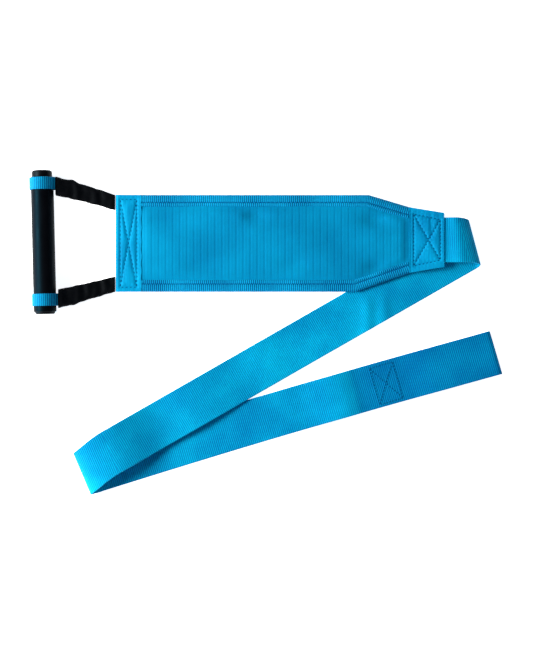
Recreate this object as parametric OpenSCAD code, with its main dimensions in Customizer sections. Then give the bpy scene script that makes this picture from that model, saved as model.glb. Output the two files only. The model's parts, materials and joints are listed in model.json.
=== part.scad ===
// Gait belt: a padded back panel with a rigid grip handle on one end and a long
// webbing strap on the other. The strap lies in three runs joined by two soft
// folds, and its end is turned back and sewn down as a hand loop.
// Millimetres. +X runs from the handle to the strap, +Y across the belt, +Z up.

/* [Strap] */
// Width of the strap webbing
strap_w = 50; // [40:1:60]
// Thickness of the strap webbing
strap_t = 1.6; // [1.2:0.1:2.2]
// Strap between the right tab and the right fold, on the centre line
upper_run_len = 34; // [30:1:60]
// Middle run, from the right fold to the left fold
middle_run_len = 508; // [420:5:620]
// Lower run, from the left fold to the end of the hand loop
lower_run_len = 482; // [400:5:600]
// Slope of the middle run against the panel, in degrees
middle_run_slope = 29.8; // [25:0.1:37]
// Slope of the lower run against the panel, in degrees
lower_run_slope = 16.4; // [10:0.1:19]
// Height of the right fold
right_fold_h = 13; // [10:0.5:18]
// Height of the left fold
left_fold_h = 15; // [10:0.5:18]
// How far the strap slides down along the right fold as it turns over
right_fold_slip = 4; // [0:0.5:8]
// How far the strap slides down along the left fold as it turns over
left_fold_slip = 5.5; // [0:0.5:8]
// Length over which the middle run drops beyond the left fold
left_fold_drop = 85; // [50:1:110]
// Length over which the middle run steps off the lower run onto the floor
lap_drop = 50; // [30:1:60]

/* [Hand loop] */
// From the cross-stitched box to the end of the loop
hand_loop_len = 115; // [90:1:150]
// Clear height inside the loop
hand_loop_gap = 5.2; // [4.8:0.2:8]
// Height of the fold at the end of the loop
hand_loop_end_h = 5; // [4.4:0.2:7]
// Ramp at each end of the raised layer
hand_loop_ramp = 20; // [15:1:25]
// Cut end of the tail, beyond the stitched box
tail_len = 12; // [6:1:20]
// Length of the stitched box, along the strap
loop_box_len = 27; // [20:1:35]
// Width of the stitched box, across the strap
loop_box_w = 42; // [24:1:44]

/* [Panel] */
// Length of the panel, from its left edge to the right tab
panel_len = 328.5; // [270:1:400]
// Width of the panel
panel_w = 108; // [90:1:130]
// Width of the tapered end, where the right tab starts
panel_end_w = 73; // [64:1:88]
// Length of the taper on the upper edge
taper_upper = 46; // [35:1:60]
// Length of the taper on the lower edge
taper_lower = 60; // [35:1:75]
// Centre line of the strap above the centre line of the panel
strap_offset = 3.6; // [0:0.1:6]
// Thickness of the back lining
lining_t = 0.8; // [0.5:0.1:1.5]
// Thickness of the foam
foam_t = 3; // [2:0.2:6]
// Thickness of the ribbed face fabric
face_t = 0.8; // [0.5:0.1:1.5]
// How far the layers reach under the right tab
core_lap = 7.5; // [5:0.5:12]

/* [Edge binding] */
// Width of the binding on the face
binding_w = 12.9; // [9:0.1:16]
// Thickness of the binding tape
binding_t = 0.6; // [0.4:0.1:0.8]
// Stitch row, from the outer edge
binding_seam = 8.5; // [6:0.1:8.9]

/* [Tabs] */
// Thickness of the tab fabric
tab_t = 0.8; // [0.6:0.1:1.2]
// Length of the left tab along the belt
left_tab_len = 29; // [24:1:40]
// Stitched box inside the left tab, from the tab's edges
left_tab_margin = 5; // [3:0.5:8]
// Length of the right tab along the belt
right_tab_len = 38; // [30:1:50]
// Tab fabric beyond each edge of the strap
right_tab_margin = 5; // [3:0.5:8]
// Length over which the right tab steps down onto the strap
tab_step = 8; // [6:0.5:12]
// Stitched box inside the right tab, from the tab's edges
right_tab_seam = 7; // [4:0.5:10]

/* [Handle] */
// Distance from the centre of the grip to the panel's left edge
handle_reach = 79.2; // [65:0.1:100]
// Centre of the grip above the centre line of the panel
handle_offset = 1.2; // [-3:0.1:3]
// Lean of the grip, in degrees
handle_lean = 1.35; // [0:0.05:3]
// Outer radius of the grip tube
grip_r = 12.6; // [11:0.1:16]
// Wall of the grip tube
grip_wall = 2.2; // [1.5:0.1:3.5]
// Distance between the centres of the two webbing loops
loop_spacing = 129; // [100:1:150]
// Tube beyond the upper loop
tube_out_upper = 1; // [0.5:0.5:10]
// Tube beyond the lower loop
tube_out_lower = 6.5; // [0.5:0.5:10]
// Head of the upper end cap, beyond the tube
cap_head_upper = 7; // [2.5:0.5:10]
// Head of the lower end cap, beyond the tube
cap_head_lower = 2.6; // [2.5:0.1:10]
// Radius of the end caps
cap_r = 11.2; // [9.5:0.1:12]
// Rounding of the end caps
cap_round = 2.2; // [1:0.1:2.4]
// Length of the plug that sits inside the tube
cap_plug_len = 16; // [8:1:30]

/* [Handle webbing] */
// Width of the handle webbing
webbing_w = 13.5; // [11:0.5:16]
// Thickness of the handle webbing
webbing_t = 1.5; // [1:0.1:1.8]
// Half the angle at which the loop closes beside the tube, in degrees
loop_closing = 39; // [34:1:44]
// Centre line of each leg at the panel, from the panel's centre line
leg_anchor = 45.5; // [36:0.5:46]
// Width of the sleeve beside the grip
sleeve_w_grip = 21; // [18:0.5:24]
// Width of the sleeve beyond the webbing's edges, at the panel
sleeve_ease = 3.7; // [3.5:0.1:5]
// Height of the sleeve beside the grip
sleeve_h_grip = 15.4; // [15:0.2:18]
// Height of the sleeve beyond the two webbing plies, at the panel
sleeve_h_ease = 2.7; // [2.6:0.1:3.4]
// Wall of the sleeve fabric
sleeve_wall = 0.7; // [0.5:0.1:0.7]

/* [Thread] */
// Width of a stitched line
thread_w = 0.9; // [0.6:0.1:1.4]
// Height of a stitched line
thread_h = 0.4; // [0.3:0.1:0.6]

/* [Clearances] */
// Between layers that lie on each other and move apart
lay_gap = 0.3; // [0.2:0.05:0.5]
// Between the tube and the webbing loops, on the radius
turn_gap = 0.1; // [0.05:0.01:0.2]
// Between the cap's plug and the tube, on the radius
plug_gap = 0.05; // [0.02:0.01:0.1]
// Between the two sewn layers of the hand loop
sewn_gap = 0.1; // [0.05:0.05:0.2]

/* [Hidden] */
$fn = 96;

// Colours
webbing_blue = [0.04, 0.62, 0.82];
tab_blue = [0.02, 0.57, 0.78];
binding_blue = [0.01, 0.45, 0.67];
thread_blue = [0.02, 0.40, 0.62];
soft_black = [0.03, 0.03, 0.04];

// Heights of the layers, from the floor up: the panel lies on the middle run
z_back_tab = strap_t + lay_gap;
z_lining = z_back_tab + tab_t;
z_foam = z_lining + lining_t;
z_face = z_foam + foam_t;
z_top = z_face + face_t;
z_hinge = z_top + tab_t + lay_gap;
z_grip = grip_r + turn_gap + webbing_t;
right_fold_r = right_fold_h / 2;
left_fold_r = left_fold_h / 2;

// Plan, from the middle of the panel's left edge
core_end = panel_len + core_lap;
tab_end = panel_len + right_tab_len;
end_upper = strap_offset + panel_end_w / 2;
end_lower = strap_offset - panel_end_w / 2;
slope_upper = (panel_w / 2 - end_upper) / taper_upper;
slope_lower = (panel_w / 2 + end_lower) / taper_lower;
upper_edge = [[0, panel_w / 2], [panel_len - taper_upper, panel_w / 2],
              [core_end, end_upper - core_lap * slope_upper]];
lower_edge = [[0, -panel_w / 2], [panel_len - taper_lower, -panel_w / 2],
              [core_end, end_lower + core_lap * slope_lower]];

// The strap turns over at each fold like light off a mirror, so the fold line
// halves the angle between the runs. "into" points from the fold to its runs,
// and "line" along it; "turn" is the middle run's centre at a fold.
right_fold = [tab_end + upper_run_len, strap_offset];
right_half = middle_run_slope / 2;
right_into = 180 + right_half;
left_into = (middle_run_slope + lower_run_slope) / 2;
left_half = (middle_run_slope - lower_run_slope) / 2;
right_line = [-sin(right_half), cos(right_half)];
left_line = [-sin(left_into), cos(left_into)];
right_turn = right_fold - right_fold_slip * right_line;
left_turn = right_turn - middle_run_len * [cos(middle_run_slope), sin(middle_run_slope)];
left_fold = left_turn - left_fold_slip * left_line;
lap_end = (strap_w - left_fold_slip * cos(left_half)) / 2 / sin(left_half);

// Lower run, measured along the strap from the left fold
box_mid = lower_run_len - hand_loop_len - loop_box_len / 2;
tail_end = box_mid - loop_box_len / 2 - tail_len;

// Middle of the grip, and the ends of the legs
grip_at = [-handle_reach, handle_offset];
sleeve_start = z_grip + 1.3;
tube_len = loop_spacing + webbing_w + tube_out_upper + tube_out_lower;
tube_low = -loop_spacing / 2 - webbing_w / 2 - tube_out_lower;
z_leg = z_foam + foam_t / 2;
leg_end_x = -2 * lay_gap;

// Rings along a sleeve, and points round each ring
sleeve_rings = 8;
ring_points = 24;

// The belt's own box, whose middle becomes the origin
x_low = min(grip_at.x - z_grip - (loop_spacing + webbing_w) / 2 * sin(handle_lean),
    (left_turn + strap_w / 2 / cos(left_half) * left_line).x);
y_high = max(grip_at.y + (tube_low + tube_len + cap_head_upper) * cos(handle_lean), panel_w / 2);
loop_tip = left_fold + lower_run_len * [cos(lower_run_slope), sin(lower_run_slope)]
         + strap_w / 2 * [sin(lower_run_slope), -cos(lower_run_slope)];
x_high = max(loop_tip.x, (right_turn - strap_w / 2 / cos(right_half) * right_line).x);
y_low = (left_fold - strap_w / 2 / cos(left_half) * left_line).y;
centre = [(x_low + x_high) / 2, (y_high + y_low) / 2];

// Unit vector square to the line from a to b, on its left
function left_of(a, b) = let (d = (b - a) / norm(b - a)) [-d.y, d.x];
// Mitred offset of an open line by distance d to its left
function shift_line(p, d) = [for (i = [0 : len(p) - 1])
    let (m = left_of(p[max(i - 1, 0)], p[max(i, 1)]),
         n = left_of(p[min(i, len(p) - 2)], p[min(i + 1, len(p) - 1)]))
    p[i] + (m + n) * d / (1 + m * n)];
function backwards(p) = [for (i = [len(p) - 1 : -1 : 0]) p[i]];
// Outline between two offsets of one line
function band(p, a, b) = concat(shift_line(p, a), backwards(shift_line(p, b)));
// Points of an arc about c, from angle a to angle b
function arc(c, r, a, b, n) = [for (k = [0 : n]) let (q = a + (b - a) * k / n) c + r * [cos(q), sin(q)]];
// Soft step from p to q, level at both ends
function ease(p, q, n) = [for (k = [0 : n])
    [p.x + (q.x - p.x) * k / n, p.y + (q.y - p.y) * (1 - cos(180 * k / n)) / 2]];

// Places a piece drawn in the belt's plan
module placed() translate([-centre.x, -centre.y, 0]) children();
// Side profile (distance, height) carried sideways over a width
module sideways(at, heading, width) {
    translate([at.x, at.y, 0]) rotate([90, 0, heading]) linear_extrude(width, center = true) children();
}
// Plan outline of a straight strap run that starts at a point and heads off
module run_plan(at, heading, from, to) {
    translate([at.x, at.y, -1]) rotate([0, 0, heading]) translate([from, -strap_w / 2, 0])
        cube([to - from, strap_w, left_fold_h + right_fold_h]);
}
// One stitched line, and a box of stitches crossed corner to corner
module seam(p, q) {
    translate(p) rotate(atan2(q.y - p.y, q.x - p.x)) translate([-thread_w / 2, -thread_w / 2])
        square([norm(q - p) + thread_w, thread_w]);
}
module cross_box(corners) {
    linear_extrude(thread_h) {
        for (i = [0 : 3]) seam(corners[i], corners[(i + 1) % 4]);
        for (i = [0, 1]) seam(corners[i], corners[i + 2]);
    }
}
// Corners of a box that narrows from width w1 at x to width w2 at its far end
function box_corners(x, y, len, w1, w2) =
    [[x, y - w1 / 2], [x + len, y - w2 / 2], [x + len, y + w2 / 2], [x, y + w1 / 2]];

// Half of a fold: a quarter turn from the outermost line, then what follows it
module lower_half_fold(r, reach) {
    line = concat(arc([r, r], r - strap_t / 2, 181.5, 270, 8), [[reach, strap_t / 2]]);
    polygon(band(line, strap_t / 2, -strap_t / 2));
}
module upper_half_fold(r, rest) {
    line = concat(arc([r, r], r - strap_t / 2, 178.5, 90, 8), rest);
    polygon(band(line, strap_t / 2, -strap_t / 2));
}

module strap_lower_run() {
    mid = strap_t / 2;
    over = strap_t + sewn_gap + mid;
    top = strap_t + hand_loop_gap + mid;
    end_r = hand_loop_end_h / 2;
    turn = lower_run_len - end_r;
    box_from = box_mid - loop_box_len / 2 - 3;
    box_to = box_mid + loop_box_len / 2 + 3;
    line = concat([[left_fold_h * 2, mid]],
        ease([tail_end - hand_loop_ramp, mid], [tail_end - 2, over], 8),
        ease([box_to, over], [box_to + hand_loop_ramp, top], 8),
        ease([turn - hand_loop_ramp, top], [turn, hand_loop_end_h - mid], 8),
        arc([turn, end_r], end_r - mid, 75, -90, 8),
        [[tail_end, mid]]);
    color(webbing_blue) placed() {
        intersection() {
            run_plan(left_fold, lower_run_slope, -strap_w, left_fold_h * 3);
            sideways(left_fold, left_into, strap_w * 2) lower_half_fold(left_fold_r, left_fold_h * 4);
        }
        sideways(left_fold, lower_run_slope, strap_w) polygon(band(line, mid, -mid));
    }
}
module hand_loop_stitching() {
    color(thread_blue) placed() translate([left_fold.x, left_fold.y, 2 * strap_t + sewn_gap])
        rotate([0, 0, lower_run_slope])
            cross_box(box_corners(box_mid - loop_box_len / 2, 0, loop_box_len, loop_box_w, loop_box_w));
}
module strap_middle_run() {
    mid = strap_t / 2;
    over = strap_t + lay_gap + mid;
    start = left_fold_r + 3;
    far = middle_run_len * 0.8;
    line = concat(ease([start, left_fold_h - mid], [start + left_fold_drop, over], 14),
        ease([lap_end + 6, over], [lap_end + 6 + lap_drop, mid], 8), [[far, mid]]);
    color(webbing_blue) placed() intersection() {
        run_plan(right_turn, 180 + middle_run_slope, -strap_w, middle_run_len + strap_w);
        union() {
            sideways(right_fold, right_into, middle_run_len)
                lower_half_fold(right_fold_r, middle_run_len - far + strap_w);
            sideways(left_fold, left_into, middle_run_len) upper_half_fold(left_fold_r, line);
        }
    }
}
module strap_upper_run() {
    mid = strap_t / 2;
    sewn = z_lining + mid;
    start = right_fold_r + 1;
    line = concat(ease([start, right_fold_h - mid], [upper_run_len * 0.72, sewn], 12),
        [[upper_run_len + right_tab_len + strap_w, sewn]]);
    color(webbing_blue) placed() intersection() {
        translate([core_end, strap_offset - strap_w / 2, 0])
            cube([right_tab_len + upper_run_len + strap_w, strap_w, right_fold_h * 2]);
        sideways(right_fold, right_into, strap_w * 4) upper_half_fold(right_fold_r, line);
    }
}

// Plan outline of the panel's layers, set in from its edges
function layer(from, inset) = let (u = shift_line(upper_edge, -inset), l = shift_line(lower_edge, inset))
    [[from, l[0].y], l[1], l[2], u[2], u[1], [from, u[0].y]];
module ply(z, t, from) {
    placed() translate([0, 0, z]) linear_extrude(t) polygon(layer(from, binding_t));
}
module panel_lining() color(binding_blue) ply(z_lining, lining_t, tab_t);
module panel_foam() color("gray") ply(z_foam, foam_t, left_tab_len - 2);
module panel_face() color(webbing_blue) ply(z_face, face_t, tab_t);

// A tape folded over one long edge, with a channel for the layers inside it
module edge_binding(edge, side) {
    color(binding_blue) placed() intersection() {
        difference() {
            translate([0, 0, z_lining - binding_t]) linear_extrude(z_top - z_lining + 2 * binding_t)
                polygon(band(edge, 0, side * binding_w));
            translate([0, 0, z_lining]) linear_extrude(z_top - z_lining)
                polygon(band(edge, side * binding_t, side * (binding_w + 1)));
        }
        translate([left_tab_len, -panel_w, 0]) cube([panel_len - left_tab_len, 2 * panel_w, 3 * z_top]);
    }
}
module edge_binding_upper() edge_binding(upper_edge, -1);
module edge_binding_lower() edge_binding(lower_edge, 1);
module binding_row(edge, side) {
    color(thread_blue) placed() intersection() {
        translate([0, 0, z_top + binding_t]) linear_extrude(thread_h)
            polygon(band(edge, side * (binding_seam - thread_w / 2), side * (binding_seam + thread_w / 2)));
        translate([left_tab_len, -panel_w, 0]) cube([panel_len - left_tab_len, 2 * panel_w, 3 * z_top]);
    }
}
module binding_seam_upper() binding_row(upper_edge, -1);
module binding_seam_lower() binding_row(lower_edge, 1);

// A fabric band folded round the panel's left end
module left_tab() {
    color(tab_blue) placed() translate([0, -panel_w / 2, z_back_tab]) difference() {
        cube([left_tab_len, panel_w, z_top - z_back_tab + tab_t]);
        translate([tab_t, -1, tab_t]) cube([left_tab_len, panel_w + 2, z_top - z_lining]);
    }
}
module left_tab_stitching() {
    color(thread_blue) placed() translate([0, 0, z_top + tab_t])
        cross_box(box_corners(left_tab_margin, 0, left_tab_len - 2 * left_tab_margin,
            panel_w - 2 * left_tab_margin, panel_w - 2 * left_tab_margin));
}
// The handle's webbing, carried across the panel's end inside the tab
module handle_anchor_webbing() {
    color(webbing_blue) placed() translate([tab_t + 1, -panel_w / 2 + 2, z_foam])
        cube([left_tab_len - 2 - tab_t - 2, panel_w - 4, foam_t]);
}

module right_tab_plan(height) {
    outer = strap_w + 2 * right_tab_margin;
    linear_extrude(height) polygon(box_corners(panel_len, strap_offset, right_tab_len, panel_end_w, outer));
}
// The front patch steps down from the panel's face onto the strap
module right_tab_front() {
    mid = tab_t / 2;
    low = z_lining + strap_t + mid;
    line = concat([[panel_len - 1, z_top + mid]],
        ease([core_end + 1, z_top + mid], [core_end + tab_step, low], 8), [[tab_end + 1, low]]);
    color(tab_blue) placed() intersection() {
        right_tab_plan(2 * z_top);
        sideways([0, 0], 0, 2 * panel_w) polygon(band(line, mid, -mid));
    }
}
module right_tab_back() color(tab_blue) placed() translate([0, 0, z_back_tab]) right_tab_plan(tab_t);
module right_tab_stitching() {
    inset = right_tab_seam;
    outer = strap_w + 2 * right_tab_margin;
    from = core_end + tab_step + 1;
    length = tab_end - inset - from;
    color(thread_blue) placed() translate([0, 0, z_lining + strap_t + tab_t])
        cross_box(box_corners(from, strap_offset, length, outer - inset, outer - 2 * inset));
}

// Handle: a point given beside the grip, in the belt's plan
function beside_grip(x, y, z) = [grip_at.x + x * cos(handle_lean) - y * sin(handle_lean),
    grip_at.y + x * sin(handle_lean) + y * cos(handle_lean), z];
module at_grip() translate([grip_at.x, grip_at.y, z_grip]) rotate([0, 0, handle_lean]) children();
// Circle drawn out to a point on +X, tangent to it
module teardrop(r) {
    circle(r);
    polygon([[0, 0], [r * sin(loop_closing), r * cos(loop_closing)], [r / sin(loop_closing), 0],
        [r * sin(loop_closing), -r * cos(loop_closing)]]);
}
module handle_webbing(side) {
    from = beside_grip(sleeve_start, side * loop_spacing / 2, z_grip);
    to = [leg_end_x, side * leg_anchor, z_leg];
    reach = norm(to - from);
    skip = (grip_r + turn_gap) / sin(loop_closing) - sleeve_start - 0.5;
    color(webbing_blue) placed() intersection() {
        union() {
            at_grip() translate([0, side * loop_spacing / 2, 0]) rotate([90, 0, 0])
                linear_extrude(webbing_w, center = true) difference() {
                    teardrop(grip_r + turn_gap + webbing_t);
                    teardrop(grip_r + turn_gap);
                }
            translate(from)
                rotate([0, asin((from.z - to.z) / reach), atan2(to.y - from.y, to.x - from.x)])
                    translate([skip, -webbing_w / 2, -webbing_t])
                        cube([reach, webbing_w, 2 * webbing_t]);
        }
        translate([leg_end_x - 2 * handle_reach, -panel_w, -1])
            cube([2 * handle_reach, 2 * panel_w, 3 * z_grip]);
    }
}
module handle_webbing_upper() handle_webbing(1);
module handle_webbing_lower() handle_webbing(-1);

// Flattened sleeve over one leg: square-shouldered rings from the grip to the panel
function squared(a) = let (c = cos(a), s = sin(a), k = pow(pow(abs(c), 6) + pow(abs(s), 6), -1 / 6))
    [c * k, s * k];
function sleeve_ring(side, q, wall) =
    let (from = beside_grip(sleeve_start, side * loop_spacing / 2, z_grip),
         to = [leg_end_x, side * leg_anchor, z_leg],
         c = from + (to - from) * q,
         w_end = webbing_w + sleeve_ease,
         h_end = 2 * webbing_t + sleeve_h_ease,
         w = w_end + (sleeve_w_grip - w_end) * pow(max(1 - q, 0), 1.3) - 2 * wall,
         h = h_end + (sleeve_h_grip - h_end) * pow(max(1 - q, 0), 4) - 2 * wall)
    [for (i = [0 : ring_points - 1])
        let (p = squared(360 * i / ring_points)) c + [0, p.x * w / 2, p.y * h / 2]];
module sleeve_body(side, wall, spare) {
    rings = [for (k = [0 : sleeve_rings])
        each sleeve_ring(side, -spare + (1 + 2 * spare) * k / sleeve_rings, wall)];
    last = sleeve_rings * ring_points;
    polyhedron(rings, concat([[for (i = [0 : ring_points - 1]) i]],
        [for (k = [0 : sleeve_rings - 1], i = [0 : ring_points - 1])
            let (j = (i + 1) % ring_points, b = k * ring_points)
            [b + j, b + i, b + i + ring_points, b + j + ring_points]],
        [[for (i = [ring_points - 1 : -1 : 0]) last + i]]));
}
module sleeve(side) {
    color(soft_black) placed() difference() {
        sleeve_body(side, 0, 0);
        sleeve_body(side, sleeve_wall, 0.01);
    }
}
module sleeve_upper() sleeve(1);
module sleeve_lower() sleeve(-1);

module grip_tube() {
    color(soft_black) placed() at_grip() translate([0, tube_low, 0]) rotate([-90, 0, 0]) difference() {
        cylinder(r = grip_r, h = tube_len);
        translate([0, 0, -1]) cylinder(r = grip_r - grip_wall, h = tube_len + 2);
    }
}
// Push-in cap: a rounded head against the tube's end, and a plug inside it
module end_cap(head) {
    plug_r = grip_r - grip_wall - plug_gap;
    rotate_extrude() {
        translate([0, -cap_plug_len]) square([plug_r, cap_plug_len]);
        square([cap_r, head - cap_round]);
        square([cap_r - cap_round, head]);
        intersection() {
            translate([cap_r - cap_round, head - cap_round]) circle(cap_round);
            square([cap_r, head]);
        }
    }
}
module end_cap_upper() {
    color(soft_black) placed() at_grip() translate([0, tube_low + tube_len, 0]) rotate([-90, 0, 0])
        end_cap(cap_head_upper);
}
module end_cap_lower() {
    color(soft_black) placed() at_grip() translate([0, tube_low, 0]) rotate([90, 0, 0])
        end_cap(cap_head_lower);
}

strap_lower_run();
hand_loop_stitching();
strap_middle_run();
strap_upper_run();
panel_lining();
panel_foam();
panel_face();
edge_binding_upper();
edge_binding_lower();
binding_seam_upper();
binding_seam_lower();
left_tab();
left_tab_stitching();
handle_anchor_webbing();
right_tab_front();
right_tab_back();
right_tab_stitching();
handle_webbing_upper();
handle_webbing_lower();
sleeve_upper();
sleeve_lower();
grip_tube();
end_cap_upper();
end_cap_lower();
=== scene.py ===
import json
from math import ceil, cos, degrees, pi, radians, sin

import bmesh
import bpy
import numpy as np
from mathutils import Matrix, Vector


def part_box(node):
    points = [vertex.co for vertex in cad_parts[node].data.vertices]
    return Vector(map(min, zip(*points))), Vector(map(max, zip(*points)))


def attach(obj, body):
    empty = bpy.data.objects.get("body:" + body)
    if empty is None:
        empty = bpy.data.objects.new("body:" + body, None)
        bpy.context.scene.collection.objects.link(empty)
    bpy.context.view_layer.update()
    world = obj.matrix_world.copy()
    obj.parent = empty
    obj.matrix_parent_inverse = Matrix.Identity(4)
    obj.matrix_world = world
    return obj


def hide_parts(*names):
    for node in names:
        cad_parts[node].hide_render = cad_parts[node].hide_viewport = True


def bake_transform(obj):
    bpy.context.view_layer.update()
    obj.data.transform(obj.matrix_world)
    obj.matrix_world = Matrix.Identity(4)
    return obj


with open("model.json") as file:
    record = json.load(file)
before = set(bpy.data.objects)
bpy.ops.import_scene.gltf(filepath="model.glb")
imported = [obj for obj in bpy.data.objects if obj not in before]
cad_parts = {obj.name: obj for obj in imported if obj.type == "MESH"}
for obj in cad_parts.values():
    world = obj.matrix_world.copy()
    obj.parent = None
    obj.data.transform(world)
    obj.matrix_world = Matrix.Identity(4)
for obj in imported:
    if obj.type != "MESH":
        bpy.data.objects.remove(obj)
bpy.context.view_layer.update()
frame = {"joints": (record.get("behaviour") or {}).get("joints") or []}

# Strap, lower run: 50 mm polyester webbing, woven with cross ribs and dotted lengthwise yarns.
# It lies on the table, doubles back under itself and is sewn down to leave a flat hand loop.
mm = 0.001
strap_w = 50 * mm
strap_t = 1.6 * mm
joint = {j["name"]: j for j in frame["joints"]}
left_at = np.array(joint["left_fold"]["pos_m"][:2])
left_line = np.array(joint["left_fold"]["axis"][:2])
left_into = np.array([-left_line[1], left_line[0]])
left_half = radians(6.7)
lower_heading = np.arctan2(left_into[1], left_into[0]) - left_half
lower_len = 482 * mm
loop_gap = 2.4 * mm
loop_end_h = 5 * mm
loop_end_r = 1.7 * mm
box_at = 353.5 * mm
box_len = 27 * mm
box_w = 42 * mm
tail_at = box_at - box_len / 2 - 12 * mm
hump_at = tail_at - 26 * mm
fold_overrun = 12 * mm
lying = strap_t / 2
doubled_h = strap_t * 1.5 + 0.1 * mm
raised_h = strap_t * 1.5 + loop_gap
hump_h = 5.4 * mm
strap_bow = 2.6 * mm
strap_ripple = 0.22 * mm
gloss_tint = (0.08, 0.7, 1, 1)
sheen_tint = (0.05, 0.7, 1, 1)


def srgb(red, green, blue):
    """A display colour, 0 to 255 each, as the light values a shader takes."""
    c = np.array([red, green, blue]) / 255
    c = np.where(c <= 0.04045, c / 12.92, ((c + 0.055) / 1.055) ** 2.4)
    return (*c.tolist(), 1.0)


def heading(angle):
    """Unit vector in the plan at an angle in radians from +X."""
    return np.array([cos(angle), sin(angle)])


def soft(t):
    """Eased step from 0 to 1: half a cosine wave, level at both ends."""
    return (1 - np.cos(pi * np.clip(t, 0, 1))) / 2


def eased(start, end, count=14):
    """Line from start to end in (distance, height), with the height on the eased step."""
    t = np.linspace(0, 1, count)
    return np.stack([start[0] + (end[0] - start[0]) * t, start[1] + (end[1] - start[1]) * soft(t)], 1)


def arc(centre, radius, start, end, count=14):
    """Points of a circle's arc between two angles in degrees."""
    a = np.radians(np.linspace(start, end, count))
    return np.stack([centre[0] + radius * np.cos(a), centre[1] + radius * np.sin(a)], 1)


def paced(points, step):
    """The same line with even steps of arc length; gives the length so far and the points."""
    far = np.concatenate([[0], np.cumsum(np.linalg.norm(np.diff(points, axis=0), axis=1))])
    s = np.linspace(0, far[-1], ceil(far[-1] / step) + 1)
    return s, np.stack([np.interp(s, far, points[:, k]) for k in range(points.shape[1])], 1)


def across(width, count, edge=0.9 * mm):
    """Places over a width with extra ones in the rounded edges, and the share of the thickness
    there: a quarter circle over the edge distance."""
    lip = edge * (1 - np.cos(np.linspace(0.25, 1, 4) * pi / 2))
    inner = np.linspace(-width / 2 + 2 * edge, width / 2 - 2 * edge, count)
    b = np.concatenate([-width / 2 + lip - lip[0], inner, (width / 2 - lip + lip[0])[::-1]])
    rim = np.clip((width / 2 - np.abs(b) + lip[0]) / edge, 0, 1)
    return b, np.sqrt(1 - (1 - rim) ** 2)


def grown(name, points, quads, flat, material, body=None, sharp=50, caps=()):
    """A closed mesh from points, quads and end polygons, faces outward, with the flat cloth
    coordinates in metres kept as its UV."""
    mesh = bpy.data.meshes.new(name)
    mesh.from_pydata(points.tolist(), [], quads.tolist() + [list(c) for c in caps])
    work = bmesh.new()
    work.from_mesh(mesh)
    bmesh.ops.recalc_face_normals(work, faces=work.faces)
    work.to_mesh(mesh)
    work.free()
    corner = np.zeros(len(mesh.loops), np.int32)
    mesh.loops.foreach_get("vertex_index", corner)
    layer = mesh.uv_layers.new(name="flat")
    layer.data.foreach_set("uv", flat[corner].astype(np.float32).ravel())
    mesh.polygons.foreach_set("use_smooth", np.ones(len(mesh.polygons), bool))
    mesh.set_sharp_from_angle(angle=radians(sharp))
    mesh.materials.append(material)
    obj = bpy.data.objects.new(name, mesh)
    bpy.context.scene.collection.objects.link(obj)
    if body:
        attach(obj, body)
    return obj


def two_faced(name, front, back, flat, material, body=None):
    """Closed sheet between two equal grids of points: each grid is a face, and quads along the rim
    wall the two together."""
    rows, cols = front.shape[:2]
    n = rows * cols
    i = np.arange(n).reshape(rows, cols)
    face = np.stack([i[:-1, :-1], i[1:, :-1], i[1:, 1:], i[:-1, 1:]], 2).reshape(-1, 4)
    rim = np.concatenate([i[0, :-1], i[:-1, -1], i[-1, :0:-1], i[:0:-1, 0]])
    ahead = np.roll(rim, -1)
    wall = np.stack([rim, ahead, ahead + n, rim + n], 1)
    points = np.concatenate([front.reshape(-1, 3), back.reshape(-1, 3)])
    quads = np.concatenate([face, face[:, ::-1] + n, wall])
    both = np.concatenate([flat.reshape(-1, 2)] * 2)
    return grown(name, points, quads, both, material, body)


def cloth(name, middle, thickness, flat, material, body=None):
    """Sheet about a middle surface given as rows and columns. Its two faces stand half the
    thickness off it, along the cross product of the grid's two directions."""
    normal = np.cross(np.gradient(middle, axis=0), np.gradient(middle, axis=1))
    normal /= np.linalg.norm(normal, axis=2, keepdims=True)
    half = np.broadcast_to(thickness, middle.shape[:2])[..., None] / 2
    return two_faced(name, middle + normal * half, middle - normal * half, flat, material, body)


class Sock:
    """A socket in a material that takes part in ordinary sums; each sign makes a Math node."""

    def __init__(self, tree, out):
        self.tree = tree
        self.out = out

    def make(self, kind, settings, values, out=0):
        """Any other node: its type, its settings, and a value or link for each socket."""
        node = self.tree.nodes.new(kind)
        for key, value in settings.items():
            setattr(node, key, value)
        for key, value in values.items():
            if isinstance(value, Sock):
                self.tree.links.new(value.out, node.inputs[key])
            else:
                node.inputs[key].default_value = value
        return Sock(self.tree, node.outputs[out])

    def calc(self, sign, first, second=0.0, third=0.0):
        return self.make("ShaderNodeMath", {"operation": sign}, {0: first, 1: second, 2: third})

    def __add__(self, other):
        return self.calc("ADD", self, other)

    __radd__ = __add__

    def __mul__(self, other):
        return self.calc("MULTIPLY", self, other)

    __rmul__ = __mul__

    def __sub__(self, other):
        return self.calc("SUBTRACT", self, other)

    def __rsub__(self, other):
        return self.calc("SUBTRACT", other, self)

    def __truediv__(self, other):
        return self.calc("DIVIDE", self, other)

    def __pow__(self, other):
        return self.calc("POWER", self, other)

    def wave(self):
        """0 to 1 and back over each whole number."""
        return self.calc("SINE", self * (2 * pi)) * 0.5 + 0.5

    def limit(self, low=0.0, high=1.0):
        return self.calc("MINIMUM", self.calc("MAXIMUM", self, low), high)

    def blended(self, first, second):
        """Colour between two colours, by this value."""
        return self.make("ShaderNodeMix", {"data_type": "RGBA"}, {0: self.limit(), 6: first, 7: second}, 2)

    def noise(self, place, scale, detail=2.0, rough=0.5):
        return self.make("ShaderNodeTexNoise", {}, {"Vector": place, "Scale": scale, "Detail": detail,
                                                    "Roughness": rough}, "Fac")


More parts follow.
